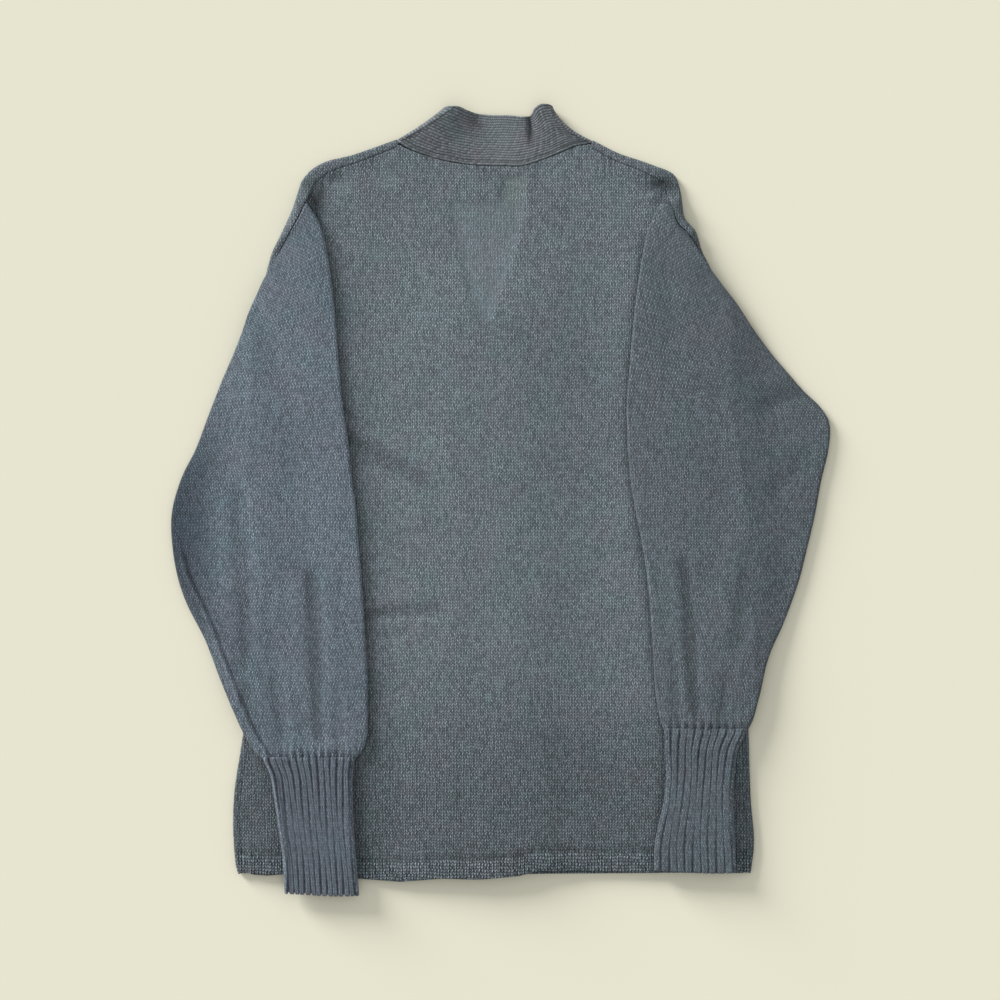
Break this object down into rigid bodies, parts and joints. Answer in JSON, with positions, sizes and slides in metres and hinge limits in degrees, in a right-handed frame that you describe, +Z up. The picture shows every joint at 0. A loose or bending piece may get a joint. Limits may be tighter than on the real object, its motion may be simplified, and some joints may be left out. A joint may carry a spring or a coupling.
{
  "type": "letterman cardigan",
  "caption": "Heavy wool V-neck cardigan laid flat with its fronts down and both sleeves folded in over the back, with ribbed cuffs and a rolled neck band.",
  "frame": {"origin": "middle of the outline at the surface that the garment lies on", "axes": "+X to the right, +Y up the back towards the neck, +Z up from the surface"},
  "size_m": [0.626, 0.751, 0.0132],
  "materials": {
    "body_knit": "heathered grey-blue wool, stockinette knit",
    "rib_knit": "grey-blue wool, ribbed knit",
    "band_knit": "grey-blue wool, close band knit",
    "button": "dark horn button"
  },
  "bodies": {
    "root": {"back_panel": "body_knit", "front_left_panel": "body_knit", "front_right_panel": "body_knit", "front_band_left": "band_knit", "front_band_right": "band_knit", "neck_band": "band_knit", "sleeve_left": "body_knit", "sleeve_right": "body_knit", "cuff_left": "rib_knit", "cuff_right": "rib_knit", "button_1": "button", "button_2": "button", "button_3": "button", "button_4": "button", "button_5": "button", "button_6": "button"}
  },
  "joints": []
}
